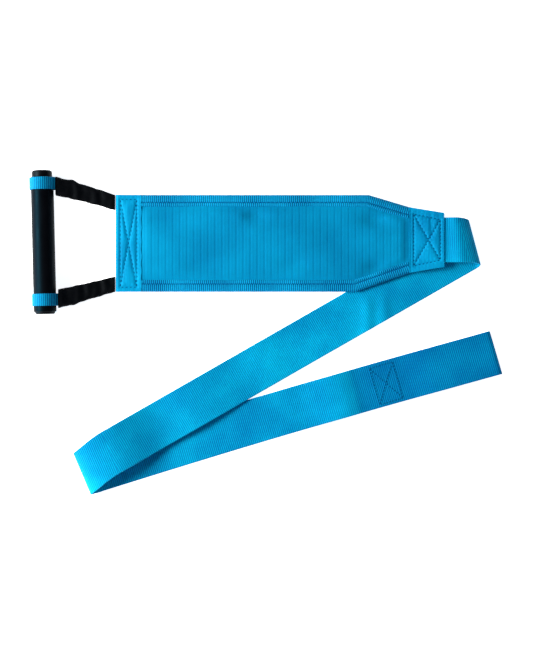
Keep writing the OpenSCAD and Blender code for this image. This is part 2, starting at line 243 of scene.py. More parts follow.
def surface(name):
    """A new material: its shader, and sockets for the cloth's width, its length and the place."""
    material = bpy.data.materials.new(name)
    material.use_nodes = True
    tree = material.node_tree
    shader = tree.nodes["Principled BSDF"]
    start = Sock(tree, None)
    flat = start.make("ShaderNodeUVMap", {"uv_map": "flat"}, {})
    x = start.make("ShaderNodeSeparateXYZ", {}, {0: flat}, 0)
    y = start.make("ShaderNodeSeparateXYZ", {}, {0: flat}, 1)
    place = start.make("ShaderNodeTexCoord", {}, {}, "Object")
    return material, shader, x, y, place


def dressed(material, shader, colour, rough, height, depth, **fixed):
    """Feeds the varying colour, roughness and relief in metres, and sets the uniform values."""
    tree = material.node_tree
    tree.links.new(colour.out, shader.inputs["Base Color"])
    tree.links.new(rough.out, shader.inputs["Roughness"])
    bump = height.make("ShaderNodeBump", {}, {"Height": height * depth, "Distance": 1.0, "Strength": 1.0})
    tree.links.new(bump.out, shader.inputs["Normal"])
    for key, value in fixed.items():
        shader.inputs[key.replace("_", " ")].default_value = value
    return material


def webbing_material(name, dark, light, pitch=2.2 * mm, depth=0.15 * mm, painted_shade_from=None):
    """Woven webbing: cross ribs at a pitch along the length, pinched by a finer row of lengthwise
    yarns that shift by half a step from rib to rib, with broad uneven dye and a dull sheen.
    From the given length on, the colour turns darker to the strap's end: painted shade past the hump's
    crest."""
    material, shader, x, y, place = surface(name)
    drift = x.noise(place, 60.0) * 0.5
    rib = (y / pitch + drift).wave()
    yarn_pitch = 1.15 * mm
    yarn = (x / yarn_pitch + x.calc("FLOOR", y / pitch + drift) * 0.5).wave()
    broad = x.noise(place, 14.0, 3.0)
    fine = x.noise(place, 900.0, 2.0)
    tone = rib * 0.42 + rib * yarn * 0.26 + 0.05 + (broad - 0.5) * 0.9 + (fine - 0.5) * 0.35
    # Painted shade: darker from the given length along the strap to its end.
    if painted_shade_from:
        tone = tone - ((y - painted_shade_from) / (8 * mm)).limit() * 0.27
    colour = tone.blended(dark, light)
    rough = 0.55 + fine * 0.2
    height = rib * 0.75 + rib * yarn * 0.25 + fine * 0.12
    return dressed(material, shader, colour, rough, height, depth, Specular_IOR_Level=0.16,
                   Specular_Tint=gloss_tint, Sheen_Weight=0.12, Sheen_Roughness=0.4, Sheen_Tint=sheen_tint)


strap_blue = webbing_material("strap webbing", srgb(0, 94, 148), srgb(6, 202, 238))
# Painted shade: the lower run's copy of the strap webbing is a little darker than the other runs'.
shaded_strap_blue = webbing_material("strap webbing end", srgb(0, 90, 146), srgb(6, 194, 234),
                             painted_shade_from=hump_at)
b, share = across(strap_w, 14)
loop_end = lower_len - loop_end_h / 2
line = np.concatenate([
    [[fold_overrun, lying]],
    eased([tail_at - 76 * mm, lying], [tail_at - 27 * mm, hump_h], 20),
    eased([hump_at, hump_h], [tail_at - 1 * mm, doubled_h], 20),
    eased([box_at + 15 * mm, doubled_h], [box_at + 60 * mm, raised_h]),
    eased([lower_len - 60 * mm, raised_h], [loop_end, loop_end_h - lying]),
    arc([loop_end, loop_end_h / 2], loop_end_r, 75, -90),
    [[tail_at, lying]]])
s, line = paced(line, 2.5 * mm)
turn = 1 - soft(s / (60 * mm))
skew = turn[:, None] * -np.tan(left_half) * b
bow = strap_bow * np.sin(pi * np.clip(line[:, :1] / lower_len, 0, 1))
ahead = heading(lower_heading)
aside = np.array([-ahead[1], ahead[0]])
plan = left_at + (line[:, :1] + skew)[..., None] * ahead + (b + bow)[..., None] * aside
waves = 1 + np.sin(line[:, :1] / (31 * mm) + b / (40 * mm))
ripple = strap_ripple * waves * soft(s / (40 * mm))[:, None]
middle = np.concatenate([plan, (line[:, 1:] + ripple + 0 * b)[..., None]], 2)
flat = np.stack([0 * s[:, None] + b, s[:, None] + skew], 2)
lower_run = cloth("strap_lower", middle, strap_t * share, flat, shaded_strap_blue, "lower_run")
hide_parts("strap_lower_run")

# Strap, left fold: the same webbing turned over on itself in a slack U, unpressed.
# Nothing fixes it; it lies between the lower and the middle run.


def curved(nose, wide, tall, start):
    """Quarter ellipse of a fold's side profile, from its outermost point to its level end."""
    a = np.linspace(0, pi / 2, 24)
    return np.stack([nose + wide * (1 - np.cos(a)), start + tall * np.sin(a)], 1)


def turned(at, line, half_turn, low, high, slip, shift_from, p, b):
    """Webbing wrapped over a fold. p is the distance across the fold line in the flat webbing,
    below zero on the lower layer; low and high are the two side profiles, walked by arc length
    from the outermost point. q runs along the fold line, and a slip along it is eased in."""
    into = np.array([-line[1], line[0]])
    sides = []
    for profile in (low, high):
        far = np.concatenate([[0], np.cumsum(np.hypot(*np.diff(profile, axis=0).T))])
        sides.append([np.interp(np.abs(p), far, profile[:, k]) for k in (0, 1)])
    u = np.where(p < 0, sides[0][0], sides[1][0])
    z = np.where(p < 0, sides[0][1], sides[1][1])
    spare = np.tan(half_turn) * (np.abs(p) - u)
    w = soft((p - shift_from) / (p[-1, 0] - shift_from))
    shear = (spare[0, 0] + slip[0]) * (1 - w) + (slip[1] - spare[-1, 0]) * w
    q = (b + p * np.sin(half_turn)) / np.cos(half_turn) + shear
    plan = at + u[..., None] * into + q[..., None] * line
    return np.concatenate([plan, z[..., None]], 2)


def reached(profile, distance):
    """Arc length from a profile's first point to where it is that far from the fold line."""
    far = np.concatenate([[0], np.cumsum(np.hypot(*np.diff(profile, axis=0).T))])
    return float(np.interp(distance, profile[:, 0], far))


left_slip = 5.5 * mm
left_overrun = 40 * mm
left_nose_h = 7 * mm
crest = (38 * mm, 20 * mm)
dip = (106 * mm, 7 * mm)
swell = (140 * mm, 8.4 * mm)
on_strap_h = strap_t * 1.5 + 0.3 * mm
left_low = np.concatenate([
    curved(lying, 7 * mm, lying - left_nose_h, left_nose_h),
    [[90 * mm, lying]]])
left_high = np.concatenate([
    curved(lying, 36 * mm, crest[1] - left_nose_h, left_nose_h),
    eased(crest, dip, 24)[1:],
    eased(dip, swell, 14)[1:],
    eased(swell, [222 * mm, on_strap_h], 24)[1:],
    eased([228 * mm, on_strap_h], [275 * mm, lying], 20)])
p = np.linspace(-reached(left_low, fold_overrun), reached(left_high, left_overrun), 76)[:, None] + 0 * b
middle = turned(left_at, left_line, -left_half, left_low, left_high, (0, -left_slip), -2 * mm, p, b + 0 * p)
flat = np.stack([b + 0 * p, p], 2)
left_fold = cloth("strap_left_fold", middle, strap_t * share, flat, strap_blue)
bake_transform(left_fold)

# Strap, middle run: the webbing between the folds. It comes down from the left fold onto the
# lower run, then onto the table, and passes under the panel with one soft crease.
right_at = np.array(joint["right_fold"]["pos_m"][:2])
right_line = np.array(joint["right_fold"]["axis"][:2])
right_into = np.array([-right_line[1], right_line[0]])
right_half = radians(14.9)
right_slip = 4 * mm
panel_front = 45 * mm
crease_w = 7 * mm
creases = ((113 * mm, 1.3 * mm), (131 * mm, 1.2 * mm))
left_turn = left_at - left_slip * left_line
right_turn = right_at - right_slip * right_line
middle_len = np.linalg.norm(right_turn - left_turn)
ahead = (right_turn - left_turn) / middle_len
aside = np.array([-ahead[1], ahead[0]])
start = (left_overrun + b * sin(left_half)) / cos(left_half)
end = middle_len - (fold_overrun - b * sin(right_half)) / cos(right_half)
t = np.linspace(0, 1, 220)[:, None]
along = start * (1 - t) + end * t
plan = left_turn + along[..., None] * ahead + (b + 0 * t)[..., None] * aside
u = (plan - left_at) @ left_into
z = np.interp(u, left_high[:, 0], left_high[:, 1])
ends = soft((u - 20 * mm) / (60 * mm)) * soft(((right_at - plan) @ -right_into - 20 * mm) / (40 * mm))
z += ends * 0.25 * mm * (1 + np.sin(along / (27 * mm) - (b + 0 * t) / (30 * mm)))
clear = soft((panel_front - plan[..., 1]) / (14 * mm))
for place, height in creases:
    z += clear * height * np.exp(-((plan[..., 0] - place) / crease_w) ** 2)
middle = np.concatenate([plan, z[..., None]], 2)
flat = np.stack([b + 0 * t, along], 2)
middle_run = cloth("strap_middle", middle, strap_t * share, flat, strap_blue, "middle_run")
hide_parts("strap_middle_run")

# Strap, right fold: the second unpressed U turn, tighter than the left one.
# It lies between the middle run and the sewn end that belongs to the panel.
right_nose_h = 5.2 * mm
right_top_h = 14.6 * mm
right_low = np.concatenate([
    curved(lying, 6 * mm, lying - right_nose_h, right_nose_h),
    [[90 * mm, lying]]])
right_high = np.concatenate([
    curved(lying, 33 * mm, right_top_h - right_nose_h, right_nose_h),
    [[90 * mm, right_top_h]]])
p = np.linspace(-reached(right_low, fold_overrun), reached(right_high, fold_overrun), 52)[:, None] + 0 * b
middle = turned(right_at, right_line, right_half, right_low, right_high, (-right_slip, 0), -8 * mm,
                p, b + 0 * p)
flat = np.stack([b + 0 * p, p], 2)
right_fold = cloth("strap_right_fold", middle, strap_t * share, flat, strap_blue)
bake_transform(right_fold)

# Strap, upper run: the webbing's other end. It drops from the right fold to the right tab and is
# sewn between the tab's two patches.
panel_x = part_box("left_tab")[0].x
panel_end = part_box("panel_face")[1].x
sewn_line = 328.5 * mm
tab_start = panel_x + sewn_line
tab_end = panel_x + 366.5 * mm
tab_lift = 6 * mm


def lifted(x):
    """How far the panel's sewn end stands up off the table, from nothing at the tab's start."""
    return tab_lift * soft((x - tab_start) / (tab_end - tab_start))


sewn_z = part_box("strap_upper_run")[0].z + strap_t / 2
reach = right_at[0] - panel_end
t = np.linspace(0, 1, 60)[:, None]
along = (fold_overrun + b * sin(right_half)) / cos(right_half) * (1 - t) + reach * t
plan = np.stack([right_at[0] - along, right_at[1] + b + 0 * t], 2)
u = (plan - right_at) @ right_into
z = np.interp(u, right_high[:, 0], right_high[:, 1])
sewn = sewn_z + lifted(plan[..., 0])
z = sewn + (z - sewn) * soft((plan[..., 0] - tab_end) / (20 * mm - b * 0.12))
middle = np.concatenate([plan, z[..., None]], 2)
flat = np.stack([b + 0 * t, along], 2)
upper_run = cloth("strap_upper", middle, strap_t * share, flat, strap_blue, "panel")
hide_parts("strap_upper_run")

# Hand loop stitching: one box of lockstitch crossed corner to corner, in the strap's own blue.
# Each stitch is a short thread that sinks into the webbing at both ends.


def stitched(name, corners, height, radius, pitch, material, body, length=0.62):
    """Rows of stitches along straight lines, each a capsule: a row of eight-sided rings whose
    radius follows a half ellipse. corners holds the two ends of each line in the plan, and height
    gives the surface's level at a place in the plan."""
    mids, heads = [], []
    for a, c in corners:
        count = max(int(round(np.linalg.norm(c - a) / pitch)), 1)
        k = (np.arange(count)[:, None] + 0.5) / count
        mids.append(a + (c - a) * k)
        heads.append(np.repeat((c - a)[None] / np.linalg.norm(c - a), count, 0))
    mids, heads = np.concatenate(mids), np.concatenate(heads)
    rows, cols = 7, 8
    t = np.linspace(-1, 1, rows)
    a = np.arange(cols) * 2 * pi / cols
    ring = np.sqrt(np.clip(1 - t ** 2, 0.02, 1))
    sides = np.stack([-heads[:, 1], heads[:, 0]], 1)
    x = t[:, None] * pitch * length / 2 + 0 * a
    y = radius * ring[:, None] * np.cos(a)
    z = radius * ring[:, None] * np.sin(a) * 0.8 - radius * 0.5 * t[:, None] ** 2
    plan = mids[:, None, None] + x[..., None] * heads[:, None, None] + y[..., None] * sides[:, None, None]
    level = height(plan[..., 0], plan[..., 1]) + z + radius * 0.45
    points = np.concatenate([plan, level[..., None]], 3).reshape(-1, 3)
    i = np.arange(rows * cols).reshape(rows, cols)
    ahead = np.roll(i, -1, 1)
    one = np.stack([i[:-1], ahead[:-1], ahead[1:], i[1:]], 2).reshape(-1, 4)
    base = np.arange(len(mids))[:, None] * rows * cols
    quads = (base[..., None] + one).reshape(-1, 4)
    caps = np.concatenate([base + i[0, ::-1], base + i[-1]]).tolist()
    flat = np.tile(np.stack([x + 0 * a, y], 2).reshape(-1, 2), (len(mids), 1))
    return grown(name, points, quads, flat, material, body, 80, caps)


def thread_material(name, dark, light):
    """Twisted thread: fine slanting turns along the stitch, and a slight shine."""
    material, shader, x, y, place = surface(name)
    twist = (x / (0.5 * mm) + y / (0.5 * mm)).wave()
    patch = x.noise(place, 300.0)
    colour = (twist * 0.6 + patch * 0.4).blended(dark, light)
    return dressed(material, shader, colour, 0.45 + patch * 0.2, twist, 0.05 * mm,
                   Specular_IOR_Level=0.25, Specular_Tint=gloss_tint)


def crossed(centre, turn_by, length, w1, w2):
    """The six lines of a box seam crossed corner to corner; w1 and w2 are its widths at both ends."""
    ahead, aside = heading(turn_by), heading(turn_by + pi / 2)
    c = [centre + ahead * x * length / 2 + aside * y / 2
         for x, y in ((-1, -w1), (1, -w2), (1, w2), (-1, w1))]
    return [(c[0], c[1]), (c[1], c[2]), (c[2], c[3]), (c[3], c[0]), (c[0], c[2]), (c[1], c[3])]


thread_blue = thread_material("blue thread", srgb(0, 74, 124), srgb(0, 122, 174))
loop_thread_r = 0.5 * mm
loop_pitch = 3.6 * mm
centre = left_at + heading(lower_heading) * box_at
centre = centre + heading(lower_heading + pi / 2) * strap_bow * sin(pi * box_at / lower_len)
loop_seam = stitched("loop_stitching", crossed(centre, lower_heading, box_len, box_w, box_w),
                     lambda x, y: 2 * strap_t + 0.5 * mm + 0 * x,
                     loop_thread_r, loop_pitch, thread_blue, "lower_run")
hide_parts("hand_loop_stitching")

# Panel pad: the belt's wide padded part, ribbed woven face cloth over 3 mm foam. Its ribs run
# across the belt, and the seams round it pull shallow dents into the face near the edges.


def woven_face(name, dark, light):
    """Ribbed face cloth: thin dark grooves across the belt, every second one stronger, with a
    fine weave between them and broad, uneven dye."""
    material, shader, x, y, place = surface(name)
    drift = x.noise(place, 45.0) * 0.12
    major = (y / groove_pitch + drift).wave() ** 6.0
    minor = (y / (groove_pitch / 2) + drift).wave() ** 5.0
    weft = (y / (groove_pitch / 8)).wave()
    warp = (x / (0.9 * mm)).wave()
    broad = x.noise(place, 16.0, 3.0)
    fine = x.noise(place, 1100.0, 2.0)
    tone = 0.5 - major * 0.08 - minor * 0.04 + weft * warp * 0.16 + (broad - 0.5) * 0.8 + (fine - 0.5) * 0.3
    colour = tone.blended(dark, light)
    height = weft * warp * 0.5 + weft * 0.25 + fine * 0.3 - major * 0.5
    return dressed(material, shader, colour, 0.6 + fine * 0.2, height, 0.09 * mm, Specular_IOR_Level=0.14,
                   Specular_Tint=gloss_tint, Sheen_Weight=0.08, Sheen_Roughness=0.4, Sheen_Tint=sheen_tint)


groove_pitch = 7.84 * mm
tab_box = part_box("left_tab")
panel_y = (tab_box[0].y + tab_box[1].y) / 2
panel_half = (tab_box[1].y - tab_box[0].y) / 2
binding_t = 0.6 * mm
upper_taper = 46 * mm
lower_taper = 60 * mm
end_rise = 3.6 * mm
end_half = 36.5 * mm
face_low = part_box("panel_foam")[0].z
face_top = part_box("panel_face")[1].z
crown_h = 1.5 * mm
dent_pull = 1.7


def panel_edge(x, side):
    """Distance of the panel's edge from its middle line: level, then straight down the taper to
    the width at the sewn end. x runs from the left end."""
    taper = upper_taper if side > 0 else lower_taper
    at_end = end_half + side * end_rise
    slope = (panel_half - at_end) / taper
    return panel_half - np.maximum(x - (sewn_line - taper), 0) * slope


def panel_grid(along, across_by):
    """Grid inside the binding: a number of even steps along, and places across that run from the
    lower edge at -1 to the upper edge at 1. Gives x, y, and y on both edges."""
    x = np.linspace(0.9 * mm, panel_end - panel_x - 0.3 * mm, along)[:, None]
    upper = panel_edge(x, 1) - binding_t
    lower = -panel_edge(x, -1) + binding_t
    y = lower + (upper - lower) * (across_by + 1) / 2
    return x + 0 * y, y, lower, upper


def groove(x, shift, depth, width):
    """Row of grooves across the panel: a narrow bell curve once in each pitch."""
    return depth * np.exp(-((((x / groove_pitch - shift) % 1) - 0.5) / width) ** 2)


face_blue = woven_face("panel face cloth", srgb(0, 74, 122), srgb(4, 156, 200))
x, y, lower, upper = panel_grid(620, np.sin(np.linspace(-1, 1, 56) * pi / 2))
last = x[-1, 0]
inset = np.minimum(upper - y, y - lower)
rim = soft((inset + 0.4 * mm) / (2.4 * mm))
rim = rim * soft((x + 0.6 * mm) / (3 * mm)) * soft((last - x + 1 * mm) / (3 * mm))
crown = soft((inset - 11.5 * mm) / (9 * mm))
crown = crown * soft((x - 25 * mm) / (12 * mm)) * soft((last - 7 * mm - x) / (12 * mm))
relief = groove(x, 0.75, 0.11 * mm, 0.10) + groove(x, 0.25, 0.05 * mm, 0.08)
soft_wave = 0.5 * mm * np.sin(x / (38 * mm) + 1.3) * np.sin(y / (23 * mm) + x / (60 * mm))
z = face_top + crown * (crown_h + soft_wave - relief) - (1 - crown) * relief * 0.4
# Each dent: place along, place across, half length, half width and depth, in mm.
for at_x, at_y, long, wide, deep in (
        (155, 31, 15, 7, 1.5), (140, 31, 9, 7, -0.5), (290, 26, 16, 8, 2.1), (200, -21, 20, 9, 1.0),
        (292, -27, 15, 8, 1.6), (60, 24, 26, 10, 0.7), (95, -25, 24, 9, 0.8), (245, 10, 26, 22, 0.5)):
    r = ((x / mm - at_x) / long) ** 2 + ((y / mm - at_y) / wide) ** 2
    z = z - crown * dent_pull * deep * mm * np.exp(-r)
z = face_low + (z - face_low) * (0.25 + 0.75 * rim)
top = np.stack([panel_x + x, panel_y + y, z], 2)
base = top.copy()
base[..., 2] = face_low
pad = two_faced("panel_pad", top, base, np.stack([y, x], 2), face_blue, "panel")
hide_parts("panel_face", "panel_foam")

# Panel lining: plain nylon lining cloth behind the foam, caught in the same binding.
# It touches the wearer, so it is smooth, flat and a little darker than the face.


def plain_cloth(name, dark, light, depth=0.05 * mm):
    """Plain weave nylon: a fine square weave of about 0.7 mm, faint streaks along the length and
    broad soft dye patches."""
    material, shader, x, y, place = surface(name)
    weave = (x / (0.7 * mm)).wave() * (y / (0.7 * mm)).wave()
    stretched = x.make("ShaderNodeCombineXYZ", {}, {0: x * 0.06, 1: y})
    streak = x.make("ShaderNodeTexNoise", {"noise_dimensions": "2D"},
                    {"Vector": stretched, "Scale": 700.0, "Detail": 2.0}, "Fac")
    broad = x.noise(place, 22.0, 3.0)
    tone = 0.5 + (weave - 0.25) * 0.18 + (streak - 0.5) * 0.5 + (broad - 0.5) * 0.8
    colour = tone.blended(dark, light)
    height = weave + streak * 0.6
    return dressed(material, shader, colour, 0.5 + broad * 0.2, height, depth, Specular_IOR_Level=0.2,
                   Specular_Tint=gloss_tint, Sheen_Weight=0.08, Sheen_Roughness=0.35, Sheen_Tint=sheen_tint)


lining_t = 0.7 * mm
lining_blue = plain_cloth("lining cloth", srgb(0, 70, 118), srgb(3, 134, 184))
x, y, lower, upper = panel_grid(120, np.linspace(-1, 1, 26))
lining_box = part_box("panel_lining")
z = (lining_box[0].z + lining_box[1].z) / 2 + 0.05 * mm * np.sin(x / (9 * mm)) * np.cos(y / (11 * mm))
middle = np.stack([panel_x + x, panel_y + y, z], 2)
lining = cloth("panel_lining_cloth", middle, lining_t, np.stack([y, x], 2), lining_blue, "panel")
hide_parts("panel_lining")
panel_area = float(((upper - lower)[:-1, 0] * np.diff(x[:, 0])).sum())
float(x[-1, 0] - x[0, 0])

# Edge bindings: grosgrain tape folded over each long edge and stitched through. Its ribs stand
# square to the edge; past the stitch line the tape's inner edge swells into a row of small lumps.


def ringed(name, rings, flat, material, body, sharp):
    """Closed skin through rows of ring points; the two end rings close with one polygon each."""
    rows, cols = rings.shape[:2]
    i = np.arange(rows * cols).reshape(rows, cols)
    ahead = np.roll(i, -1, 1)
    quads = np.stack([i[:-1], ahead[:-1], ahead[1:], i[1:]], 2).reshape(-1, 4)
    return grown(name, rings.reshape(-1, 3), quads, flat.reshape(-1, 2), material, body, sharp,
                 (i[0, ::-1].tolist(), i[-1].tolist()))


def grosgrain(name, dark, light, pitch):
    """Ribbed binding tape: painted highlight on rib tops, painted shade in the valleys and along the stitch
    line, plus thread grain.
    """
    material, shader, x, y, place = surface(name)
    # Painted highlight and shade: the colour follows the modelled ribs, light on their tops and dark
    # between them.
    rib = (y / pitch).wave()
    lump = (y / pitch + 0.5).wave()
    inner = ((x - lumps_in) / (0.5 * mm)).limit()
    # Painted shade: darker along the stitch line.
    seam_shade = 1.0 - x.calc("ABSOLUTE", (x - seam_in) / (0.9 * mm)).limit()
    grain = (x / (0.8 * mm)).wave()
    broad = x.noise(place, 20.0, 3.0)
    fine = x.noise(place, 900.0, 2.0)
    ribs = rib * (1.0 - inner) + lump * inner
    tone = ribs * 0.75 + (broad - 0.5) * 0.8 + (fine - 0.5) * 0.3 - seam_shade * 0.45 + 0.02
    colour = tone.blended(dark, light)
    height = grain * 0.5 + fine * 0.5
    return dressed(material, shader, colour, 0.5 + fine * 0.2, height, 0.06 * mm, Specular_IOR_Level=0.22,
                   Specular_Tint=gloss_tint, Sheen_Weight=0.1, Sheen_Roughness=0.35, Sheen_Tint=sheen_tint)


rib_pitch = 2.28 * mm
rib_h = 0.24 * mm
binding_from = 28.2 * mm
seam_in = 8.5 * mm
lumps_in = 8.6 * mm
seam_pitch = 4.4 * mm
binding_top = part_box("edge_binding_upper")[1].z
binding_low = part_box("edge_binding_upper")[0].z
binding_blue = grosgrain("binding tape", srgb(0, 52, 104), srgb(14, 176, 226), rib_pitch)


def binding(side):
    """The tape's section is a flattened C: top leg, rounded nose outside the edge, bottom leg, and
    back along the panel. Ribs push the outside off by a sine along the edge."""
    which = "upper" if side > 0 else "lower"
    taper = upper_taper if side > 0 else lower_taper
    bend = sewn_line - taper
    slope = (panel_half - end_half - side * end_rise) / taper
    stretch = np.hypot(1, slope)
    total = bend - binding_from + (sewn_line + 1 * mm - bend) * stretch
    s = np.linspace(0, total, int(total / (0.46 * mm)))
    past = np.maximum(s - (bend - binding_from), 0)
    edge = np.stack([binding_from + s - past * (1 - 1 / stretch),
                     side * (panel_half - past * slope / stretch)], 1)
    tilt = np.arctan(slope) * soft((s - (bend - binding_from) + 6 * mm) / (12 * mm))
    inward = np.stack([-np.sin(tilt), -side * np.cos(tilt)], 1)
    top_in = np.array([12.9, 12.3, 11.4, 10.3, 9.4, 8.8, 8.4, 7.8, 6.6, 5.0, 3.4, 2.2, 1.2, 0.4]) * mm
    lift = np.array([-0.25, 0.1, 0.35, 0.35, 0.12, -0.2, -0.25, 0.05, 0.35, 0.45, 0.4, 0.15, -0.3, -1.1])
    nose_in = np.array([0.0, 0.0, 0.4]) * mm
    nose_z = np.array([binding_top - 2.2 * mm, binding_low + 2 * mm, binding_low + 0.7 * mm])
    low_in = np.array([1.4, 5.0, 9.0, 12.9]) * mm
    back_in = np.array([12.9, 7.0, 1.4, 1.0, 1.4, 7.0, 12.0, 12.9]) * mm
    back_z = np.repeat([binding_low + 0.55 * mm, (binding_low + binding_top) / 2,
                        binding_top - 0.55 * mm], [3, 1, 4])
    section_in = np.concatenate([top_in, nose_in, low_in, back_in])
    section_z = np.concatenate([binding_top - 0.1 * mm + lift * mm, nose_z, [binding_low] * 4, back_z])
    ribbed = np.concatenate([[0.5, 1, 1, 1, 0.6, 0, 0, 0.6, 1, 1, 1, 1, 1, 1], [1, 0.6, 0.3], np.zeros(12)])
    phase = s[:, None] / rib_pitch + np.where(section_in > lumps_in, 0.5, 0)
    phase = phase + 0.04 * np.sin(s[:, None] / (11 * mm))
    ribs = rib_h * ribbed * (np.sin(2 * pi * phase) * 0.5 + 0.5)
    outside = section_in < 1 * mm
    wander = 0.25 * mm * np.sin(s[:, None] / (17 * mm)) + 0.15 * mm * np.sin(s[:, None] / (6.3 * mm) + 1)
    inset = section_in - np.where(outside, ribs, 0)
    inset = inset + wander * np.clip((section_in - 9 * mm) / (3 * mm), 0, 1)
    level = section_z + np.where(outside & (section_z < binding_top - 1 * mm), 0, ribs)
    plan = edge[:, None] + inward[:, None] * inset[..., None]
    rings = np.stack([panel_x + plan[..., 0], panel_y + plan[..., 1], level], 2)
    girth = np.concatenate([top_in, -np.array([1, 3, 4.5, 6, 9, 13, 17]) * mm, np.zeros(8)])
    flat = np.stack([girth + 0 * s[:, None], s[:, None] + 0 * girth], 2)
    obj = ringed("binding_" + which, rings, flat, binding_blue, "panel", 60)
    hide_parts("edge_binding_" + which)
    seam = np.array([panel_x, panel_y]) + (edge + inward * seam_in)
    walk = int(round(seam_pitch / (s[1] - s[0])))
    row = [(seam[k], seam[k + walk]) for k in range(0, len(s) - walk, walk)]
    stitches = stitched("binding_stitches_" + which, row, lambda x, y: binding_top - 0.25 * mm + 0 * x,
                        0.38 * mm, seam_pitch, thread_blue, "panel", 0.7)
    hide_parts("binding_seam_" + which)


binding(1)
binding(-1)

# Left tab: plain nylon band folded round the panel's left end over the handle's anchor webbing.
# It is stitched through as a tall box crossed corner to corner, and the seam puckers it.
tab_len = 29 * mm
tab_t = 0.8 * mm
tab_low_z = tab_box[0].z
tab_top_z = tab_box[1].z
tab_pitch = 4.7 * mm
tab_pull = 0.95 * mm
tab_seam_len = 18.6 * mm
tab_seam_w = 98 * mm
thread_navy = thread_material("navy thread", srgb(0, 30, 70), srgb(0, 78, 128))
tab_blue = plain_cloth("tab cloth", srgb(0, 82, 134), srgb(4, 168, 214))


def from_lines(x, y, lines):
    """Distance of each place from the nearest of some straight lines, and the length along it."""
    best = np.full(x.shape, 1.0)
    run = np.zeros(x.shape)
    for a, c in lines:
        d = c - a
        t = np.clip(((x - a[0]) * d[0] + (y - a[1]) * d[1]) / (d @ d), 0, 1)
        off = np.hypot(x - a[0] - t * d[0], y - a[1] - t * d[1])
        run = np.where(off < best, t * np.linalg.norm(d), run)
        best = np.minimum(best, off)
    return best, run


def puckered(x, y, lines, pitch, depth):
    """Stitching pulls cloth down in a soft valley, deeper at each stitch, and lets it swell
    between the lines."""
    off, run = from_lines(x, y, lines)
    pull = np.exp(-(off / (1.3 * mm)) ** 2) * (0.75 + 0.25 * np.cos(2 * pi * run / pitch))
    gather = np.exp(-(off / (4 * mm)) ** 2) * np.cos(2 * pi * run / pitch) * 0.18
    swell = 1 - np.exp(-(off / (5 * mm)) ** 2)
    return depth * (swell * 0.55 - pull + gather)


tab_lines = crossed(np.array([panel_x + 14.6 * mm, panel_y]), 0, tab_seam_len, tab_seam_w, tab_seam_w)
nose = (tab_top_z - tab_low_z) / 2 - tab_t / 2
mid_z = (tab_top_z + tab_low_z) / 2
line = np.concatenate([
    [[tab_len, mid_z - nose]], [[nose + 1.5 * mm, mid_z - nose]],
    arc([nose + 0.4 * mm, mid_z], nose, 265, 95, 16),
    [[nose + 1.5 * mm, mid_z + nose]], [[tab_len, mid_z + nose]]])
s, line = paced(line, 0.9 * mm)
b, share = across(2 * panel_half, 110)
x = panel_x + line[:, :1] + 0 * b
y = panel_y + b + 0 * x
on_top = line[:, 1:] > mid_z + nose * 0.98
puff = puckered(x, y, tab_lines, tab_pitch, tab_pull)
z = line[:, 1:] + np.where(on_top, puff, 0) * soft((line[:, :1] - 2 * mm) / (3 * mm))
x = x + np.where(on_top & (line[:, :1] > tab_len - 2 * mm), 0.35 * mm * np.sin(y / (2.6 * mm)), 0)
middle = np.stack([x, y, z], 2)
flat = np.stack([b + 0 * x, s[:, None] + 0 * b], 2)
left_tab = cloth("left_tab_cloth", middle, tab_t * share, flat, tab_blue, "panel")
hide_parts("left_tab")
tab_seam = stitched("left_tab_stitches", tab_lines,
                    lambda x, y: tab_top_z - 0.1 * mm + puckered(x, y, tab_lines, tab_pitch, tab_pull),
                    0.42 * mm, tab_pitch, thread_navy, "panel")
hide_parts("left_tab_stitching")

# Anchor webbing: the handle's webbing carried across the panel's end, closed in by the left tab.
# It gives the stitches something strong to hold.
anchor_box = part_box("handle_anchor_webbing")
anchor_t = anchor_box[1].z - anchor_box[0].z
b, share = across(anchor_box[1].y - anchor_box[0].y, 20)
x = np.linspace(anchor_box[0].x, anchor_box[1].x, 24)[:, None] + 0 * b
y = b + 0 * x
middle = np.stack([x, panel_y + y, (anchor_box[0].z + anchor_box[1].z) / 2 + 0 * x], 2)
flat = np.stack([x, y], 2)
webbing_blue = webbing_material("handle webbing", srgb(0, 50, 100), srgb(10, 172, 214), 2.2 * mm, 0.12 * mm)
anchor = cloth("anchor_webbing", middle, anchor_t * share, flat, webbing_blue, "panel")
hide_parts("handle_anchor_webbing")

# Right tab: two nylon patches, front and back, that sandwich the strap's end and the panel's end.
# The front one steps down off the panel, and its outer edge is overlocked into small teeth.
low_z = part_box("strap_upper_run")[0].z + strap_t + tab_t / 2
high_z = face_top + tab_t / 2 + 0.3 * mm
right_y = panel_y + end_rise
outer_half = 30 * mm
teeth_pitch = 2.3 * mm
patch_pitch = 4.2 * mm
patch_pull = 0.8 * mm
patch_box = crossed(np.array([(tab_start + 4 * mm + tab_end - 4.5 * mm) / 2, right_y]), 0,
                    tab_end - tab_start - 8.5 * mm, 58 * mm, 45 * mm)
hem_x = tab_start + 1.4 * mm
hem_half = 35 * mm
hem = (np.array([hem_x, right_y - hem_half]), np.array([hem_x, right_y + hem_half]))
tab_lines = patch_box + [hem]


def tab_level(x, y):
    """Height of the front patch: off the panel, down an eased step, with the pull of its seams."""
    z = high_z + (low_z + tab_lift - high_z) * soft((x - tab_start - 1 * mm) / (34 * mm))
    return z + puckered(x, y, tab_lines, patch_pitch, patch_pull)


def patch_grid(x, columns):
    """Places over a patch that narrows evenly from the panel's width to the outer edge's."""
    half = end_half + (outer_half - end_half) * (x - tab_start) / (tab_end - tab_start)
    y = right_y + half * np.linspace(-1, 1, columns)
    return x + 0 * y, y


